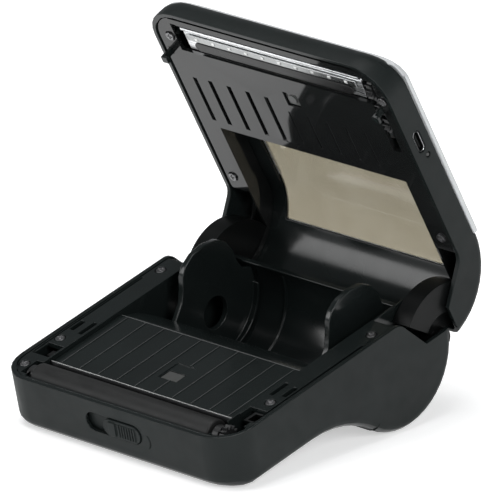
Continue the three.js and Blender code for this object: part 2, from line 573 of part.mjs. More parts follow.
// Five slots on the left, and the same row carried on as grooves to the right.
for (let i = 0; i < 9; i += 1) {
  const x = -38.4 + 9.1 * i;
  const open = i < 4;
  const half = open ? 1.05 : 0.4;
  inner = inner.subtract(box(x - half, x + half, open ? 32.5 : 37, open ? 54.5 : 53, 0, PLATE_Z[0] + (open ? 1.1 : 0.5)));
}
inner = inner.subtract(box(-47.1, -45.1, 33, 54.5, 0, PLATE_Z[0] + 1.1));
inner = inner.subtract(box(SENSOR.x - 3.4, SENSOR.x + 3.4, SENSOR.y - 3.4, SENSOR.y + 3.4, 0, 9));
for (const s of LID_SCREWS) {
  inner = inner.subtract(rodZ(s.x, s.y, 1.3, 0, 9, 12)).subtract(rodZ(s.x, s.y, 2.2, 0, PLATE_Z[0] + 0.7, 16));
}
// Blades of the two hooks; both toes point to the right.
const HOOKS = [
  { name: "left", x: -52.3, blade: 1, flange: -46.3 },
  { name: "right", x: 49.5, blade: 0.8, flange: 53.6 },
];
for (const h of HOOKS) inner = inner.subtract(box(h.x - GAP, h.x + h.blade + GAP, HOOK_Y[0] - GAP, HOOK_Y[1] + GAP, 0, 9));
top("lid_inner_plate", inner, MAT.gloss);
for (const h of HOOKS) {
  top(`latch_hook_${h.name}`, join(
    box(h.x, h.x + h.blade, ...HOOK_Y, -4.4, 3.7),
    box(h.x, h.x + 2.8, ...HOOK_Y, -4.4, -3.2),
    box(h.x, h.flange, HOOK_Y[0], 26, 2.7, 3.7),
  ), MAT.gloss);
}
for (const s of LID_SCREWS) {
  const placed = screw(0, 0, 0, 6.6).rotate([180, 0, 0]).translate([s.x, s.y, PLATE_Z[0] + 0.4]);
  top(`lid_screw_${s.name}`, placed, MAT.steel);
}

// Print head: chromed carrier with mitred ends, ceramic strip over the platen, sealed strip behind.
const carrier = slabX([
  [7.6, 1.6], [8.6, 1.6], [8.8, 2.4], [9.4, 2.4], [9.4, 3.2], [10.1, 3.2], [10.1, 2.4], [18.4, 2.4], [18.4, 4.6], [7.6, 4.6],
], -45, 45.8).intersect(slabZ([[-42.4, 5], [43.5, 5], [42.4, 19], [-42.3, 19]], 0, 9));
top("print_head_carrier", carrier, MAT.chrome);
// Heating strip with its row of end pads, and the rounded strip that seals the driver chips.
let ceramic = box(-40.5, 40.5, 10.4, 13.2, 1.6, 2.1);
for (let x = -36; x <= 36; x += 8) ceramic = ceramic.add(box(x - 0.7, x + 0.7, 11.2, 12.3, 1.4, 1.7));
top("print_head_ceramic", ceramic, MAT.ceramic);
top("print_head_seal", slabZ(rounded(-38, 38, 13.5, 17.5, 1.9, 5), 1.4, 2.1), MAT.rubber);
for (const side of [-1, 1]) {
  top(`head_spring_${side < 0 ? "left" : "right"}`, coil(26 * side, 12.2, 6, 9.3, 2, 0.3, 4), MAT.steel);
}
top("head_cable", slabX([[18.8, 3], [19.3, 3], [19.3, 7.8], [21.2, 7.8], [21.2, 8.3], [18.8, 8.3]], -8, 12), MAT.tape);

// Gear train, turned so that each pair is in mesh.
const drivePhase = 0.1;
const onePhase = meshPhase(driveAt, idlerOneAt, 16, drivePhase, 14);
const twoPhase = meshPhase(idlerOneAt, idlerTwoAt, 14, onePhase, 14);
const motorPhase = meshPhase(idlerTwoAt, motorAt, 14, twoPhase, 8);
const platenPhase = meshPhase(driveAt, PLATEN, 16, drivePhase, 14);
top("drive_gear", gearX(driveAt.y, driveAt.z, 16, 1.2, drivePhase), MAT.acetal);
top("idler_gear_front", gearX(idlerOneAt.y, idlerOneAt.z, 14, 1.2, onePhase), MAT.acetal);
top("idler_gear_rear", gearX(idlerTwoAt.y, idlerTwoAt.z, 14, 1.2, twoPhase), MAT.acetal);
top("motor_pinion", gearX(motorAt.y, motorAt.z, 8, 1.0, motorPhase), MAT.steel);
base("platen_gear", gearX(PLATEN.y, PLATEN.z, 14, 2.1, platenPhase), MAT.acetal);
top("feed_motor", join(
  rodX(motorAt.y, motorAt.z, 3.4, 30, 45.6, 20),
  rodX(motorAt.y, motorAt.z, 0.7, 45, 49.3, 10),
), MAT.motor);

// Electronics.
top("battery_pack", slabX(rounded(22.4, 55.4, 3.0, 9.2, 1.5, 3), -43.4, -11), MAT.cell);
top("main_board", join(
  box(-7, 26.4, 21.5, 56, 7.6, 8.6),
  box(0, 9, 40, 49, 6.4, 7.7),
  box(14, 19, 30, 35, 6.4, 7.7),
  box(-5, 1, 23, 27, 6, 7.7),
  box(12, 22, 46, 52, 5.8, 7.7),
), MAT.board);
top("lid_paper_sensor", join(
  box(SENSOR.x - 3, SENSOR.x + 3, SENSOR.y - 3, SENSOR.y + 3, 1.7, 4.4),
  rodZ(SENSOR.x, SENSOR.y, 2, 1.1, 2, 16),
), MAT.lens);
const sleeveUsb = slabX(rounded(PORT.y - PORT.w / 2, PORT.y + PORT.w / 2, PORT.z - PORT.h / 2, PORT.z + PORT.h / 2, 1.55, 4), 50.3, 56.2)
  .subtract(slabX(rounded(PORT.y - PORT.w / 2 + 0.35, PORT.y + PORT.w / 2 - 0.35, PORT.z - PORT.h / 2 + 0.35,
    PORT.z + PORT.h / 2 - 0.35, 1.2, 4), 51.3, 60));
top("usb_port", sleeveUsb.add(box(51, 55.6, PORT.y - 3, PORT.y + 3, PORT.z - 0.35, PORT.z + 0.35)), MAT.steel);
top("status_light", rodX(LAMP.y, LAMP.z, LAMP.r, 53.6, 56.5, 12), MAT.lens);
top("power_button", join(
  rodZ(BUTTON.x, BUTTON.y, BUTTON.r, 11.1, 14.3, 28),
  rodZ(BUTTON.x, BUTTON.y, 1.6, 10.2, 11.4, 12),
), MAT.cover);

export default whole;
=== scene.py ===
# %% [markdown]
# # A portable label maker with its lid open
# The machine's solids come from CAD and are loaded as a fixed frame. This file gives them
# their finished surfaces: rounded moulding edges, grained and glossy plastics, plated metal,
# rubber, and the small details that a moulding or a machined part shows up close.
# Every step is a cell: first a few words on the real part, then the code that makes it.
# An empty scene comes first, so that only the machine and its own lights are in it.

import json
from math import cos, radians, sin, tau

import bmesh
import bpy
import numpy as np
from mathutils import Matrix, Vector

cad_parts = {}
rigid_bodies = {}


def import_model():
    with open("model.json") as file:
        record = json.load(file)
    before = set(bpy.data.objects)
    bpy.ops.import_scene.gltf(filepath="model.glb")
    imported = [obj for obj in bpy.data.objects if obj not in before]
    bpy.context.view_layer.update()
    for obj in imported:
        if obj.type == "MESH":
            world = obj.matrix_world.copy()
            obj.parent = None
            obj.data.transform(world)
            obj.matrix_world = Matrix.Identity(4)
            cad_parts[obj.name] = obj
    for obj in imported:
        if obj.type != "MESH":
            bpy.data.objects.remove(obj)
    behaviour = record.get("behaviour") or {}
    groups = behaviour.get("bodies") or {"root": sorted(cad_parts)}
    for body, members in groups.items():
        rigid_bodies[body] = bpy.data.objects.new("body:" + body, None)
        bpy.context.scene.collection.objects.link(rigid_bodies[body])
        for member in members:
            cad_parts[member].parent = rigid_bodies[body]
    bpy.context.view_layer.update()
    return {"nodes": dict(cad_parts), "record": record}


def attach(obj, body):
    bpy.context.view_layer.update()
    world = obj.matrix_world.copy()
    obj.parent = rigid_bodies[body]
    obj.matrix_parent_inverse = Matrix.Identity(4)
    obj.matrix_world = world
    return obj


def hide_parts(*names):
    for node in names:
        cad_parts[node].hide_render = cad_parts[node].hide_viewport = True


for leftover in list(bpy.data.objects):
    bpy.data.objects.remove(leftover)
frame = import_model()

# %% [markdown]
# ## The two working frames
# The body stands nose down, and its lid is swung open, so almost nothing lies along the
# room's axes. Shapes are easier to think about in the machine's own frame: x to the right,
# y from the front wall to the hinge, z up from the seam. `stood` carries such points to the
# room, and `opened` first swings points of the shut lid about the hinge.

# %% Machine frame to room
MM = 0.001
TILT = radians(13)
OPEN = radians(73.5)
LIFT = 20.6
MIDDLE = 68.13
HINGE_Y, HINGE_Z = 116.0, -19.0
HALF, TOP, DEEP, CORNER, NOSE = 56.5, 12.8, 21.5, 14.0, 10.5
BARREL_Y, BARREL_Z, BARREL_R = 91.3, -14.2, 27.0
ARCH_Y, ARCH_Z, ARCH_R, ARCH_END = 42.0, -66.0, 44.5, 72.7


def turned(points, angle):
    """Points in mm turned about the x axis: y and z mix by the angle's cosine and sine."""
    x, y, z = np.moveaxis(np.asarray(points, float), -1, 0)
    return np.stack([x, y * cos(angle) - z * sin(angle), y * sin(angle) + z * cos(angle)], -1)


def stood(points):
    """Machine frame in mm to room in metres: tip by TILT, then lift onto the feet."""
    return (turned(points, TILT) + [0, -MIDDLE, LIFT]) * MM


def opened(points):
    """Shut-lid points in mm to the room: swing by OPEN about the hinge, then stand."""
    pivot = np.array([0, HINGE_Y, HINGE_Z])
    return stood(turned(np.asarray(points, float) - pivot, -OPEN) + pivot)


def unstood(points):
    """Room in metres back to the machine frame in mm, the inverse of stood."""
    return turned(np.asarray(points, float) / MM - [0, -MIDDLE, LIFT], -TILT)


def unopened(points):
    """Room in metres back to shut-lid points in mm, the inverse of opened."""
    pivot = np.array([0, HINGE_Y, HINGE_Z])
    return turned(unstood(points) - pivot, OPEN) + pivot


print("seam's front edge is", np.round(stood([0, 0, 0]) * 1000, 1), "mm from the origin")

# %% [markdown]
# ## Noise in a finish
# A moulding is never one flat colour. Spark-eroded grain breaks up its gloss, slow changes
# in wall thickness pull the surface in and out, and handling polishes its edges. Each
# finish below is built from the same few node steps on the piece's own Object coordinates,
# so the grain keeps its real size on every part.


# %% Node helpers
def finish_nodes(name, color, roughness, metallic=0.0):
    """A Principled material and its node tree, with its plain values on the sockets."""
    material = bpy.data.materials.new(name)
    material.use_nodes = True
    tree = material.node_tree
    shader = tree.nodes["Principled BSDF"]
    shader.inputs["Base Color"].default_value = (*color, 1)
    shader.inputs["Roughness"].default_value = roughness
    shader.inputs["Metallic"].default_value = metallic
    return material, tree, shader


def noise(tree, size_mm, detail=3.0, stretch=(1, 1, 1)):
    """Noise whose features are about size_mm across, stretched along the object's axes."""
    place = tree.nodes.new("ShaderNodeTexCoord")
    mapping = tree.nodes.new("ShaderNodeMapping")
    mapping.inputs["Scale"].default_value = stretch
    texture = tree.nodes.new("ShaderNodeTexNoise")
    texture.inputs["Scale"].default_value = 1 / (size_mm * MM)
    texture.inputs["Detail"].default_value = detail
    tree.links.new(place.outputs["Object"], mapping.inputs["Vector"])
    tree.links.new(mapping.outputs["Vector"], texture.inputs["Vector"])
    return texture.outputs["Fac"]


def spread(tree, value, low, high, start=0.3, end=0.7):
    """Maps value from start..end onto low..high."""
    node = tree.nodes.new("ShaderNodeMapRange")
    for socket, number in zip(("From Min", "From Max", "To Min", "To Max"), (start, end, low, high)):
        node.inputs[socket].default_value = number
    tree.links.new(value, node.inputs["Value"])
    return node.outputs["Result"]


def mixed(tree, factor, first, second):
    """Colour between first and second; each is a colour or another node's output."""
    node = tree.nodes.new("ShaderNodeMix")
    node.data_type = "RGBA"
    tree.links.new(factor, node.inputs["Factor"])
    for socket, value in ((node.inputs[6], first), (node.inputs[7], second)):
        if isinstance(value, tuple):
            socket.default_value = (*value, 1)
        else:
            tree.links.new(value, socket)
    return node.outputs[2]


def bumped(tree, shader, layers):
    """Chains bump nodes: each layer is (height output, depth in mm, strength)."""
    previous = None
    for height, depth_mm, strength in layers:
        node = tree.nodes.new("ShaderNodeBump")
        node.inputs["Strength"].default_value = strength
        node.inputs["Distance"].default_value = depth_mm * MM
        tree.links.new(height, node.inputs["Height"])
        if previous is not None:
            tree.links.new(previous, node.inputs["Normal"])
        previous = node.outputs["Normal"]
    tree.links.new(previous, shader.inputs["Normal"])


def edge_mask(tree, radius_mm, gain):
    """0 on open faces, rising where the surface turns within radius_mm of an edge."""
    rounded = tree.nodes.new("ShaderNodeBevel")
    rounded.samples = 4
    rounded.inputs["Radius"].default_value = radius_mm * MM
    geometry = tree.nodes.new("ShaderNodeNewGeometry")
    product = tree.nodes.new("ShaderNodeVectorMath")
    product.operation = "DOT_PRODUCT"
    tree.links.new(rounded.outputs["Normal"], product.inputs[0])
    tree.links.new(geometry.outputs["Normal"], product.inputs[1])
    return spread(tree, product.outputs["Value"], gain, 0, 0.8, 1.0)


# %% [markdown]
# ## Plastics
# Three plastics meet the eye. The shell is charcoal ABS with a fine spark grain. The inner
# mouldings come from a polished mould and stay near black with a clear gloss, and the
# lid's inner plate is polished so far that it mirrors the floor. The top cover is light
# grey and satin. They share one recipe: colour drifting slightly over some centimetres,
# roughness varied by handling, bump for grain and for slow sink, and edges that are a
# little lighter than the faces.


# %% Plastic recipe
def plastic(name, color, roughness, sheen, grain=None, drift=0.12, sink=0.02, edge=0.25):
    """Moulded plastic: sheen is its specular level, grain a (size mm, depth mm) pair or None,
    drift the colour's slow change, sink the slow waviness in mm, edge the worn edges' lift."""
    material, tree, shader = finish_nodes(name, color, roughness)
    shader.inputs["Specular IOR Level"].default_value = sheen
    slow = noise(tree, 22, 2)
    handled = noise(tree, 7, 3)
    dark = tuple(c * (1 - drift) for c in color)
    light = tuple(min(1, c * (1 + drift)) for c in color)
    worn = tuple(min(1, c * (1 + 3 * edge) + 0.01 * edge) for c in color)
    body_color = mixed(tree, spread(tree, slow, 0, 1), dark, light)
    edged = mixed(tree, edge_mask(tree, 0.5, edge), body_color, worn)
    tree.links.new(edged, shader.inputs["Base Color"])
    uneven = spread(tree, handled, roughness * 0.88, roughness * 1.12)
    tree.links.new(uneven, shader.inputs["Roughness"])
    layers = [(slow, sink, 0.6)]
    if grain:
        size_mm, depth_mm = grain
        layers.append((noise(tree, size_mm, 2), depth_mm, 0.5))
    bumped(tree, shader, layers)
    return material


SHELL = plastic("charcoal_grained_abs", (0.0092, 0.0122, 0.0120), 0.50, 0.17, (0.25, 0.006))
GLOSS = plastic("black_polished_abs", (0.0092, 0.0120, 0.0118), 0.16, 0.34, sink=0.02)
MIRROR = plastic("black_mirror_abs", (0.0100, 0.0108, 0.0108), 0.06, 0.44, sink=0.012)
COVER = plastic("light_grey_satin_abs", (0.56, 0.575, 0.585), 0.38, 0.45, (0.3, 0.003), 0.03, edge=0.05)
ACETAL = plastic("black_acetal", (0.010, 0.0105, 0.011), 0.4, 0.4, drift=0.05)
# Near-black nylon, used as painted shade: on the hinge ears, which read as dark hollows, and inside the
# socket's sleeve. The socket's tongue is black of its own.
SHADED_BLACK_NYLON = plastic("black_nylon_painted_shade", (0.0042, 0.0048, 0.0048), 0.35, 0.12)
# Lighter lines: on the plate's rib tops partly rubbing by the stock and partly a painted highlight, on the
# lid plate's groove floors a painted highlight.
RIB_WEAR_AND_GROOVE_HIGHLIGHT = plastic("rib_wear_and_groove_painted_highlight", (0.04, 0.042, 0.042), 0.22, 0.6, edge=0.5)
# The plate's rear edge is a painted highlight: a light colour standing in for the shine on its rounded edge.
PLATE_EDGE_HIGHLIGHT = plastic("plate_edge_painted_highlight", (0.15, 0.153, 0.153), 0.3, 0.5)
EPOXY = plastic("black_seal_epoxy", (0.006, 0.0062, 0.0062), 0.3, 0.35, (0.7, 0.02))
BOARD = plastic("green_solder_mask", (0.012, 0.10, 0.04), 0.3, 0.5, (0.8, 0.01))
CELL = plastic("dark_shrink_sleeve", (0.02, 0.022, 0.028), 0.3, 0.5, (3.0, 0.05))
FILM = plastic("amber_film", (0.45, 0.22, 0.04), 0.25, 0.5)
LENS = plastic("dark_lens", (0.055, 0.057, 0.055), 0.3, 0.5)
print("plastics made")


# %% [markdown]
# ## Metals and rubber
# Springs, pins and the shaft are plain steel, the screws are blackened, and the print
# head's carrier is bright plated. The peel bar is near-black steel, bright along its top
# edge, and the latch bar is near-black steel as painted shade for the hole it sits in.
# The platen and the feet are black rubber with a fine matt nap. A stretched
# noise gives the drawn lines, because a tool's marks are long one way and short the other.


# %% Metal and rubber recipe
def metal(name, color, roughness, stretch, line_mm=0.25, depth=0.004):
    """Metal with fine lines: stretch squeezes the noise along the axes that the lines cross."""
    material, tree, shader = finish_nodes(name, color, roughness, 1.0)
    lines = noise(tree, line_mm, 3, stretch)
    stain = noise(tree, 9, 3)
    dull = tuple(c * 0.8 for c in color)
    tree.links.new(mixed(tree, spread(tree, stain, 0, 1), dull, color), shader.inputs["Base Color"])
    tree.links.new(spread(tree, lines, roughness * 0.75, roughness * 1.35), shader.inputs["Roughness"])
    bumped(tree, shader, [(lines, depth, 0.4)])
    return material


def rubber(name, color, roughness):
    """Rubber: a fine nap, and a dusty bloom that lightens it in patches."""
    material, tree, shader = finish_nodes(name, color, roughness)
    shader.inputs["Specular IOR Level"].default_value = 0.3
    nap = noise(tree, 0.25, 3)
    bloom = noise(tree, 7, 3)
    pale = tuple(c * 1.9 for c in color)
    tree.links.new(mixed(tree, spread(tree, bloom, 0, 1), color, pale), shader.inputs["Base Color"])
    tree.links.new(spread(tree, bloom, roughness * 0.9, roughness * 1.2), shader.inputs["Roughness"])
    bumped(tree, shader, [(nap, 0.004, 0.4)])
    return material


STEEL = metal("plain_steel", (0.50, 0.51, 0.52), 0.28, (1, 1, 1))
BLACKED = metal("blackened_screw_steel", (0.22, 0.22, 0.225), 0.3, (1, 1, 1))
# Near-black steel: on the latch bar it is painted shade for the hole it sits in; the peel bar is near-black
# as well.
NEAR_BLACK_STEEL = metal("near_black_steel", (0.035, 0.036, 0.037), 0.4, (0.1, 1, 1))
CHROME = metal("bright_plating", (0.86, 0.87, 0.88), 0.27, (0.06, 1, 1), 0.4, 0.002)
SOLDER = metal("bright_solder", (0.92, 0.92, 0.91), 0.4, (1, 1, 1), 0.5, 0.002)
MOTOR = metal("zinc_can", (0.32, 0.33, 0.34), 0.38, (0.1, 1, 1))
RUBBER = rubber("black_rubber", (0.0065, 0.0068, 0.0068), 0.5)
CERAMIC = metal("glazed_heating_strip", (0.42, 0.43, 0.43), 0.2, (0.1, 1, 1), 0.5, 0.003)
print("metals and rubber made")

# %% [markdown]
# ## Smoke window
# The window is a clear plastic pane tinted beige-brown, so the roll can be seen through the
# shut lid. It is a true thin solid here, so light is refracted going in and coming out and
# is tinted twice. A faint surface roughness keeps it from looking like glass.

# %% Window finish
SMOKE, smoke_tree, smoke_shader = finish_nodes("smoke_tinted_pane", (0.29, 0.262, 0.198), 0.08)
smoke_shader.inputs["Transmission Weight"].default_value = 0.92
smoke_shader.inputs["IOR"].default_value = 1.38
haze_mm = 14
smoke_haze = noise(smoke_tree, haze_mm, 3)
deep_tint, light_tint = (0.275, 0.248, 0.184), (0.305, 0.278, 0.212)
tint = mixed(smoke_tree, spread(smoke_tree, smoke_haze, 0, 1), deep_tint, light_tint)
smoke_tree.links.new(tint, smoke_shader.inputs["Base Color"])
smoke_tree.links.new(spread(smoke_tree, smoke_haze, 0.05, 0.12), smoke_shader.inputs["Roughness"])
bumped(smoke_tree, smoke_shader, [(smoke_haze, 0.02, 0.3)])
print("window finish made")

# %% [markdown]
# ## Finished copies of the CAD parts
# A CAD solid has knife edges and arrives as loose triangles, and real mouldings and pressings
# have a small radius everywhere. A copy of each solid is merged, its flat areas are joined
# into whole faces, and a Bevel modifier rounds what is left sharp. Weighted normals keep
# the flats flat. The copy rides on its body and stands for its node, which stays hidden.


# %% Copy, merge and round a node
BODY_OF = {node: body for body, nodes in frame["record"]["behaviour"]["bodies"].items() for node in nodes}
SLOT_OF = {row["node"]: row["material_slot"] for row in frame["record"]["subparts"]}
ROUND_FROM = radians(32)


def dressed(piece, node_names, material, body):
    """Puts a piece on its body, in place of the named nodes, with their slot's finish."""
    piece.data.materials.clear()
    piece.data.materials.append(material)
    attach(piece, body)
    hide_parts(*node_names)
    return piece


def tinted(mesh, second, chosen):
    """Gives a second finish to the faces whose centres, as an (n, 3) array, pass the test."""
    mesh.materials.append(second)
    centres = np.empty(len(mesh.polygons) * 3)
    slots = np.empty(len(mesh.polygons), np.int32)
    mesh.polygons.foreach_get("center", centres)
    mesh.polygons.foreach_get("material_index", slots)
    slots[chosen(centres.reshape(-1, 3))] = len(mesh.materials) - 1
    mesh.polygons.foreach_set("material_index", slots)


def finished_copy(node, material, edge_mm, two_tone=None):
    """A merged copy of a node's mesh, with every edge over 32 degrees rounded by edge_mm.

    Where two_tone is given, it names a second finish and the test that picks its faces.
    """
    mesh = frame["nodes"][node].data.copy()
    mesh.name = f"{node}_finished"
    work = bmesh.new()
    work.from_mesh(mesh)
    bmesh.ops.remove_doubles(work, verts=work.verts, dist=2e-6)
    bmesh.ops.dissolve_limit(work, angle_limit=radians(0.4), verts=work.verts, edges=work.edges)
    work.to_mesh(mesh)
    work.free()
    mesh.shade_smooth()
    piece = bpy.data.objects.new(mesh.name, mesh)
    bpy.context.scene.collection.objects.link(piece)
    if edge_mm:
        bevel = piece.modifiers.new("rounded_edges", "BEVEL")
        bevel.width = edge_mm * MM
        bevel.segments = 2
        bevel.limit_method = "ANGLE"
        bevel.angle_limit = ROUND_FROM
        bevel.use_clamp_overlap = False
        bevel.harden_normals = False
    else:
        mesh.set_sharp_from_angle(angle=ROUND_FROM)
    weighted = piece.modifiers.new("flat_faces_stay_flat", "WEIGHTED_NORMAL")
    weighted.keep_sharp = True
    dressed(piece, [node], material, BODY_OF[node])
    if two_tone:
        tinted(mesh, *two_tone)
    return piece


print("copy, merge and round are ready")

# %% [markdown]
# ## Surfaces on a grid
# Turned, swept and formed pieces are worked out rather than copied: a shape is an array of
# rows and columns of points, and each four neighbours make a face. Rows may close on
# themselves, as round a shaft, and poles are merged, so every piece is one closed body.


# %% Grid to piece
def grid_faces(rows, columns, loop_rows, loop_columns, start=0):
    """Quads of a grid as point numbers; a loop joins the last row or column to the first."""
    last_row = rows if loop_rows else rows - 1
    last_column = columns if loop_columns else columns - 1
    a, b = np.meshgrid(np.arange(last_row), np.arange(last_column), indexing="ij")
    c, d = (a + 1) % rows, (b + 1) % columns
    quads = np.stack([a * columns + b, c * columns + b, c * columns + d, a * columns + d], -1)
    return start + quads.reshape(-1, 4)


def grid_piece(name, sheets):
    """One mesh object of several grids, each (points in metres, loop_rows, loop_columns)."""
    points, faces, count = [], [], 0
    for sheet, loop_rows, loop_columns in sheets:
        faces.append(grid_faces(*sheet.shape[:2], loop_rows, loop_columns, count))
        points.append(sheet.reshape(-1, 3))
        count += len(points[-1])
    mesh = bpy.data.meshes.new(name)
    mesh.from_pydata(np.concatenate(points).tolist(), [], np.concatenate(faces).tolist())
    work = bmesh.new()
    work.from_mesh(mesh)
    bmesh.ops.remove_doubles(work, verts=work.verts, dist=2e-6)
    bmesh.ops.dissolve_degenerate(work, edges=work.edges, dist=1e-7)
    bmesh.ops.recalc_face_normals(work, faces=work.faces)
    work.to_mesh(mesh)
    work.free()
    mesh.shade_smooth()
    mesh.set_sharp_from_angle(angle=radians(40))
    piece = bpy.data.objects.new(name, mesh)
    bpy.context.scene.collection.objects.link(piece)
    return piece


def bend(a, b, radius, start, end, steps=6):
    """Arc points: a + radius cos t, b + radius sin t, for t from start to end degrees."""
    t = np.radians(np.linspace(start, end, steps + 1))
    return np.stack([a + radius * np.cos(t), b + radius * np.sin(t)], -1)


def lathe_x(profile, y, z, steps=96):
    """Profile (x, r) carried round an axis along x: y + r cos t, z + r sin t."""
    x, r = np.asarray(profile, float).T[:, :, None]
    t = np.linspace(0, tau, steps, endpoint=False)
    return np.stack(np.broadcast_arrays(x, y + r * np.cos(t), z + r * np.sin(t)), -1)


def lathe_z(profile, x, y, steps=96):
    """Profile (r, z) carried round an axis along z: x + r cos t, y + r sin t."""
    r, z = np.asarray(profile, float).T[:, :, None]
    t = np.linspace(0, tau, steps, endpoint=False)
    return np.stack(np.broadcast_arrays(x + r * np.cos(t), y + r * np.sin(t), z), -1)


print("grid tools ready")

# %% [markdown]
# ## Platen roller
# The roller is rubber moulded on a steel core and then ground true, so it is smoother than
# the feet and has a small radius at each end. The rubber stops short of the core, which
# leaves a shallow ring in each end face. One closed profile carried round the axis is
# exactly how it is ground.

# %% Roller from its profile
ROLLER_Y, ROLLER_Z, ROLLER_R, ROLLER_END = 8.6, -3.9, 5.4, 43.0
CORE_R, BORE_R, ROUND = 3.3, 2.2, 0.7
right_end = np.concatenate([
    bend(ROLLER_END - ROUND, ROLLER_R - ROUND, ROUND, 90, 0),
    [[ROLLER_END, CORE_R + 0.1], [ROLLER_END - 0.5, CORE_R], [ROLLER_END - 0.5, BORE_R + 0.2],
     [ROLLER_END - 0.7, BORE_R]],
])
roller_profile = np.concatenate([right_end, right_end[::-1] * [-1, 1]])
roller_surface = stood(lathe_x(roller_profile, ROLLER_Y, ROLLER_Z))
roller = grid_piece("platen_roller_finished", [(roller_surface, True, True)])
dressed(roller, ["platen_roller"], RUBBER, BODY_OF["platen_roller"])
print("roller has", len(roller.data.polygons), "faces")

# %% [markdown]
# ## Window pane
# The pane is cut from tinted sheet and formed over the barrel: flat over the deck, then
# bent to the barrel's radius. A sheet of points follows that path, a Solidify modifier
# gives it its thickness inwards, and a Bevel rounds the rim as a trimmed and flamed edge
# is. Its faces are turned outwards first, so that the thickness goes the right way.

# %% Pane from its path
PANE_FRONT, PANE_HALF, PANE_THICK, PANE_ARC = 62.0, 38.0, 1.5, radians(38)
FLAT = BARREL_Y - PANE_FRONT
flat_path = np.linspace(0, FLAT, 16)
round_path = FLAT + np.linspace(0, BARREL_R * PANE_ARC, 25)[1:]
path = np.concatenate([flat_path, round_path])
turn = np.maximum(path - FLAT, 0) / BARREL_R
pane_y = np.where(path < FLAT, PANE_FRONT + path, BARREL_Y + BARREL_R * np.sin(turn))
pane_z = TOP - BARREL_R * (1 - np.cos(turn))
across = np.linspace(-PANE_HALF, PANE_HALF, 33)
sheet = np.stack(np.broadcast_arrays(across[None, :], pane_y[:, None], pane_z[:, None]), -1)
pane = grid_piece("view_window_finished", [(opened(sheet), False, False)])
top_normal = np.mean([face.normal for face in pane.data.polygons], axis=0)
outward = opened([0, 70, TOP + 1]) - opened([0, 70, TOP])
if np.dot(top_normal, outward) < 0:
    pane.data.flip_normals()
thickness = pane.modifiers.new("sheet_thickness", "SOLIDIFY")
thickness.thickness = PANE_THICK * MM
thickness.offset = -1
rim = pane.modifiers.new("flamed_rim", "BEVEL")
rim.width = 0.25 * MM
rim.segments = 2
rim.limit_method = "ANGLE"
dressed(pane, ["view_window"], SMOKE, BODY_OF["view_window"])
print("pane path is", round(float(path[-1]), 1), "mm long")

# %% [markdown]
# ## Power button and status light
# The button has a dished top so that a finger finds it without looking, a rounded rim and
# a plunger that meets the switch. The light pipe ends in a low dome. Both are round, so
# each is one profile from pole to pole.

# %% Button and light pipe
BUTTON_X, BUTTON_Y, BUTTON_R, BUTTON_TOP = -24.0, 24.0, 5.0, 14.3
DISH_R, DISH_DEPTH, RIM_R = 3.9, 0.45, 0.5
dish_r = np.linspace(0, DISH_R, 12)
dish = np.stack([dish_r, BUTTON_TOP - DISH_DEPTH * (1 + np.cos(np.pi * dish_r / DISH_R)) / 2], -1)
button_profile = np.concatenate([
    dish, bend(BUTTON_R - RIM_R, BUTTON_TOP - RIM_R, RIM_R, 90, 0),
    [[BUTTON_R, 11.1], [1.6, 11.1], [1.6, 10.3], [1.4, 10.2], [0, 10.2]],
])
button_surface = opened(lathe_z(button_profile, BUTTON_X, BUTTON_Y))
button = grid_piece("power_button_finished", [(button_surface, False, True)])
dressed(button, ["power_button"], COVER, BODY_OF["power_button"])
LAMP_Y, LAMP_Z, LAMP_R = 46.0, 6.4, 0.8
dome_turn = np.radians(np.linspace(90, 0, 9))
dome = np.stack([55.9 + 0.6 * np.cos(dome_turn), LAMP_R * np.sin(dome_turn)], -1)
light_profile = np.concatenate([[[53.6, 0], [53.6, LAMP_R]], dome])
light_surface = opened(lathe_x(light_profile, LAMP_Y, LAMP_Z, 32))
light = grid_piece("status_light_finished", [(light_surface, False, True)])
dressed(light, ["status_light"], LENS, BODY_OF["status_light"])
print("button and light made")

# %% [markdown]
# ## Charging socket
# A drawn steel sleeve with a stadium section, its lip rolled inwards, over a black tongue.
# The section is carried along the sleeve while its offset follows the wall's own profile:
# out along the outside, round the lip, and back in to the closed end.

# %% Socket sleeve and tongue
PORT_Y, PORT_Z, PORT_HALF, PORT_HIGH = 38.4, 5.0, 4.5, 1.6


def stadium(offset, x, steps=12):
    """Rows of stadium outlines at x, each drawn in by offset: two half circles joined."""
    offset, x = np.asarray(offset, float)[:, None], np.asarray(x, float)[:, None]
    t = np.radians(np.concatenate([np.linspace(-90, 90, steps), np.linspace(90, 270, steps)]))
    side = np.repeat([1.0, -1.0], steps) * (PORT_HALF - PORT_HIGH)
    radius = PORT_HIGH - offset
    y, z = PORT_Y + side + radius * np.cos(t), PORT_Z + radius * np.sin(t)
    return np.stack(np.broadcast_arrays(x, y, z), -1)


wall = np.array([
    [1.55, 50.3], [0, 50.3], [0, 55.9], [0.08, 56.1], [0.17, 56.2], [0.3, 56.1], [0.35, 55.9], [0.35, 51.6],
    [1.55, 51.6],
])
blade = np.array([[1.55, 51.7], [1.25, 51.7], [1.25, 55.3], [1.35, 55.5], [1.55, 55.5]])
sleeve = stadium(wall[:, 0], wall[:, 1])
tongue = stadium(blade[:, 0], blade[:, 1])
TONGUE_NARROWED = 0.92
tongue[..., 1] = PORT_Y + (tongue[..., 1] - PORT_Y) * TONGUE_NARROWED
socket = grid_piece("usb_port_finished", [(opened(sleeve), True, True), (opened(tongue), True, True)])
dressed(socket, ["usb_port"], STEEL, BODY_OF["usb_port"])


def inside_socket(centres):
    """True within the sleeve: nearer the middle than the wall and short of the lip."""
    x, y, z = unopened(centres).T
    along = np.maximum(np.abs(y - PORT_Y) - PORT_HALF + PORT_HIGH, 0)
    inner = np.hypot(along, z - PORT_Z) < PORT_HIGH - 0.31
    return inner & (x < 56.05)


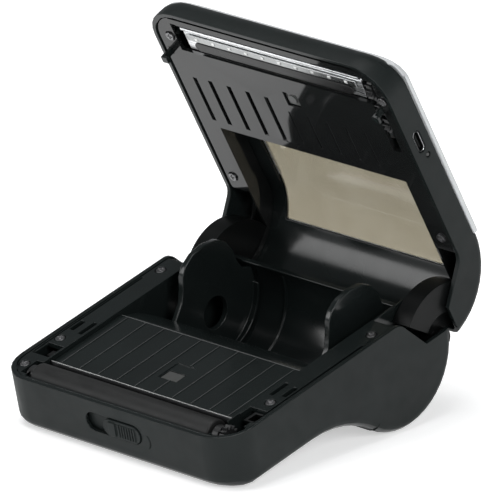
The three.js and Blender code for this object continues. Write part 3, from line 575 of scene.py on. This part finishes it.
# inside the sleeve the near-black is painted shade; on the tongue it is the tongue's own black
tinted(socket.data, SHADED_BLACK_NYLON, inside_socket)
print("socket has", len(socket.data.polygons), "faces")

# %% [markdown]
# ## Head springs and ribbon cable
# Two coil springs press the print head on the roller, and a flat ribbon feeds it. A spring
# is a circle swept along a helix whose pitch closes up at both ends, as a wound and ground
# spring's does. The ribbon is a strip that rises, bends over a small radius and enters its
# connector. Its outer side is rippled by the conductors, and its two ends are pinched shut.

# %% Springs
SPRING_R, WIRE_R, COILS = 2.0, 0.3, 4.5


def spring(x, y, z0, z1):
    """Helix x + R cos a, y + R sin a, with z eased at both ends, and a wire circle swept along
    it: radius out along the coil's radius and up along z. The ends shrink to points."""
    t = np.linspace(0, 1, 181)[:, None]
    a = tau * COILS * t
    rise = t - np.sin(tau * t) / tau * 0.7
    b = np.linspace(0, tau, 12, endpoint=False)[None, :]
    wire = WIRE_R * np.clip(np.minimum(t, 1 - t) * 200, 0, 1)
    r = SPRING_R + wire * np.cos(b)
    z = z0 + WIRE_R + (z1 - z0 - 2 * WIRE_R) * rise + wire * np.sin(b)
    return np.stack(np.broadcast_arrays(x + r * np.cos(a), y + r * np.sin(a), z), -1)


for side, x in (("left", -26), ("right", 26)):
    node = f"head_spring_{side}"
    coil = grid_piece(f"{node}_finished", [(opened(spring(x, 12.2, 5.8, 9.5)), False, True)])
    dressed(coil, [node], STEEL, BODY_OF[node])
print("springs have", len(coil.data.polygons), "faces each")

# %% Ribbon
RIBBON_HALF, RIPPLE, CONDUCTOR_PITCH = 0.15, 0.05, 2
strip = np.concatenate([[[19.05, 3.0], [19.05, 5.0]], bend(20.05, 7.05, 1.0, 180, 90), [[21.2, 8.05]]])
ribbon_x = np.concatenate([[-8], np.linspace(-8, 12, 41), [12]])
half = np.full(len(ribbon_x), RIBBON_HALF)
half[[0, -1]] = 0
wave = np.abs(np.sin((ribbon_x + 8) * tau / 2 / CONDUCTOR_PITCH))
ripple = np.where(half > 0, RIPPLE * wave, 0)
outer = np.stack(np.broadcast_arrays(ribbon_x, strip[:, :1] - half - ripple, strip[:, 1:] + half), -1)
inner = np.stack(np.broadcast_arrays(ribbon_x, strip[:, :1] + half, strip[:, 1:] - half), -1)
ribbon_surface = opened(np.concatenate([outer, inner[::-1]]))
ribbon = grid_piece("head_cable_finished", [(ribbon_surface, True, False)])
dressed(ribbon, ["head_cable"], FILM, BODY_OF["head_cable"])
print("ribbon has", len(ribbon.data.polygons), "faces")

# %% [markdown]
# ## Where a second finish begins
# The shells are grained outside and polished inside, because the mould's two halves are
# finished differently. A face's depth under the outer skin tells which half formed it. The
# plate's rib tops are lighter, partly rubbed by the stock and partly a painted highlight; its
# rear edge and the lid plate's groove floors carry painted highlights. The peel bar is
# bright metal only along its top edge.


# %% Depth under the skin
def below_skin(points):
    """Depth in mm under the shut machine's outer skin: the least of the depths under its sides,
    front, top and bottom, each a plane or a cylinder's radius less the distance to its axis."""
    x, y, z = np.abs(points[:, 0]), points[:, 1], points[:, 2]
    barrel = BARREL_R - np.hypot(y - BARREL_Y, z - BARREL_Z)
    round_corner = CORNER - np.hypot(x - HALF + CORNER, CORNER - y)
    front = np.where((x > HALF - CORNER) & (y < CORNER), round_corner, y)
    nose = NOSE - np.hypot(y - NOSE, z - TOP + NOSE)
    above = np.where(y > BARREL_Y, barrel, np.where((y < NOSE) & (z > TOP - NOSE), nose, TOP - z))
    arch = np.hypot(y - ARCH_Y, z - ARCH_Z) - ARCH_R
    below = np.where(y < ARCH_Y, z + DEEP, np.where(y < ARCH_END, arch, barrel))
    return np.minimum.reduce([HALF - x, front, above, below])


print("the window's middle lies", below_skin(np.array([[0, 70, TOP - 1.5]])), "mm under the skin")

# %% [markdown]
# ## A finish for every node
# Each node's slot names its finish, and a few pieces differ from the rest of their slot. The
# edge sizes are the radii such parts really have: about 0.3 mm on a moulded rim, less on a
# gear's tooth. The inner plate keeps its crisp edges, because its grooves are finer than
# any rounding.

# %% Finish tables
BASE_INSIDE, LID_INSIDE = 0.45, 1.3
RIB_TOP, PLATE_REAR, PEEL_TOP, PAD_TOP, GROOVE_FLOOR = -1.8, 53.5, -1.27, 1.55, 1.4
TWO_TONE = {
    "base_shell": (GLOSS, lambda centres: below_skin(unstood(centres)) > BASE_INSIDE),
    "lid_shell": (GLOSS, lambda centres: below_skin(unopened(centres)) > LID_INSIDE),
    # painted highlight along the lid plate's groove floors
    "lid_inner_plate": (RIB_WEAR_AND_GROOVE_HIGHLIGHT, lambda centres: np.abs(unopened(centres)[:, 2] - GROOVE_FLOOR) < 0.04),
    # lighter rib tops: rubbed by the stock, and a painted highlight
    "paper_plate": (RIB_WEAR_AND_GROOVE_HIGHLIGHT, lambda centres: unstood(centres)[:, 2] > RIB_TOP),
    "peel_bar": (SOLDER, lambda centres: unstood(centres)[:, 2] > PEEL_TOP),
    "print_head_ceramic": (SOLDER, lambda centres: unopened(centres)[:, 2] < PAD_TOP),
}
FINISH = {
    "shell": SHELL, "gloss": GLOSS, "cover": COVER, "rubber": RUBBER, "steel": STEEL, "chrome": CHROME,
    "ceramic": CERAMIC, "acetal": ACETAL, "board": BOARD, "cell": CELL, "lens": LENS, "motor": MOTOR,
}
FINISH_OF = {
    # the latch bar's near-black steel is painted shade for its hole
    "peel_bar": NEAR_BLACK_STEEL, "latch_bar": NEAR_BLACK_STEEL, "lid_inner_plate": MIRROR, "print_head_seal": EPOXY,
    # the hinge ears' near-black is painted shade for the hollow they read as
    "hinge_ear_left": SHADED_BLACK_NYLON, "hinge_ear_right": SHADED_BLACK_NYLON,
}
GEAR_EDGE, USUAL_EDGE = 0.08, 0.15
EDGE = {
    "lid_inner_plate": 0, "base_shell": 0.3, "lid_shell": 0.3, "lid_top_cover": 0.3, "base_inner_frame": 0.2,
    "roll_cradle": 0.3, "roll_guide_left": 0.35, "roll_guide_right": 0.35, "guide_pinion": 0.1,
    "platen_gear": GEAR_EDGE, "drive_gear": GEAR_EDGE, "idler_gear_front": GEAR_EDGE,
    "idler_gear_rear": GEAR_EDGE, "motor_pinion": GEAR_EDGE, "latch_detent": 0.06, "paper_plate": 0.1,
    "peel_bar": 0.05,
}
WORKED_OUT = {
    "platen_roller", "view_window", "power_button", "status_light", "usb_port", "head_spring_left",
    "head_spring_right", "head_cable",
}
print(len(FINISH), "finishes by slot,", len(FINISH_OF), "nodes with their own")

# %% Finish the copied nodes
copied = [node for node in frame["nodes"] if node not in WORKED_OUT]
for node in copied:
    material = BLACKED if "screw" in node else FINISH_OF.get(node, FINISH[SLOT_OF[node]])
    finished_copy(node, material, EDGE.get(node, USUAL_EDGE), TWO_TONE.get(node))
plate = bpy.data.objects["paper_plate_finished"]
# painted highlight along the paper plate's rear edge
tinted(plate.data, PLATE_EDGE_HIGHLIGHT, lambda centres: unstood(centres)[:, 1] > PLATE_REAR)
print(len(copied), "nodes finished as rounded copies")

# %% [markdown]
# ## Floor, light and camera
# The floor is white and glows a little, as a light table does, which leaves only a faint
# shadow. Dark glossy plastic is seen mostly by what it mirrors, so the sky is grey and
# fades upwards, and the boxes' places matter more than their strength: a big one overhead
# for the rims, one low in front for the outer wall and one on the right for the roll bay.

# %% Floor
floor_mesh = bpy.data.meshes.new("floor")
FLOOR = 12.0
floor_corners = [(-FLOOR, -FLOOR, 0), (FLOOR, -FLOOR, 0), (FLOOR, FLOOR, 0), (-FLOOR, FLOOR, 0)]
floor_mesh.from_pydata(floor_corners, [], [(0, 1, 2, 3)])
floor = bpy.data.objects.new("floor", floor_mesh)
bpy.context.scene.collection.objects.link(floor)
TABLE, _, table_shader = finish_nodes("pale_floor", (0.86, 0.86, 0.86), 0.9)
table_shader.inputs["Specular IOR Level"].default_value = 0.1
table_shader.inputs["Emission Color"].default_value = (1, 1, 1, 1)
table_shader.inputs["Emission Strength"].default_value = 0.5
floor.data.materials.append(TABLE)
print("floor is", 2 * FLOOR, "m square")

# %% World and softboxes
world = bpy.data.worlds.new("studio")
bpy.context.scene.world = world
world.use_nodes = True
sky = world.node_tree
direction = sky.nodes.new("ShaderNodeTexCoord")
height = sky.nodes.new("ShaderNodeSeparateXYZ")
sky.links.new(direction.outputs["Generated"], height.inputs[0])
upwards = spread(sky, height.outputs["Z"], 0.0, 1.0, 0.05, 0.5)
horizon, zenith = (0.62, 0.63, 0.64), (0.14, 0.145, 0.15)
background = sky.nodes["Background"]
sky.links.new(mixed(sky, upwards, horizon, zenith), background.inputs["Color"])
background.inputs["Strength"].default_value = 0.9
AIM = Vector((0, 0, 0.06))


def softbox(name, place, size, power):
    """A square area light at place in metres, turned to face the machine."""
    data = bpy.data.lights.new(name, "AREA")
    data.size = size
    data.energy = power
    lamp = bpy.data.objects.new(name, data)
    lamp.location = place
    lamp.rotation_euler = (AIM - Vector(place)).to_track_quat("-Z", "Y").to_euler()
    bpy.context.scene.collection.objects.link(lamp)
    return lamp


softbox("overhead", (-0.2, -0.1, 1.6), 1.2, 16)
softbox("front_left", (-0.9, -1.3, 0.7), 0.8, 9)
softbox("right", (1.2, -0.5, 0.8), 0.5, 9)
print("sky and softboxes placed")

# %% Camera
AZIMUTH, ELEVATION = radians(42.6), radians(19.2)
DISTANCE = 3.049
TARGET = Vector((0.0009, 0.0040, 0.0611))
camera_data = bpy.data.cameras.new("camera")
camera_data.sensor_width = 36
camera_data.lens = 615.2
camera_data.clip_end = 50
camera = bpy.data.objects.new("camera", camera_data)
back = Vector((sin(AZIMUTH) * cos(ELEVATION), -cos(AZIMUTH) * cos(ELEVATION), sin(ELEVATION)))
camera.location = TARGET + back * DISTANCE
camera.rotation_euler = back.to_track_quat("Z", "Y").to_euler()
bpy.context.scene.collection.objects.link(camera)
bpy.context.scene.camera = camera
bpy.context.scene.view_settings.view_transform = "Standard"
print("camera at", tuple(round(c, 2) for c in camera.location))
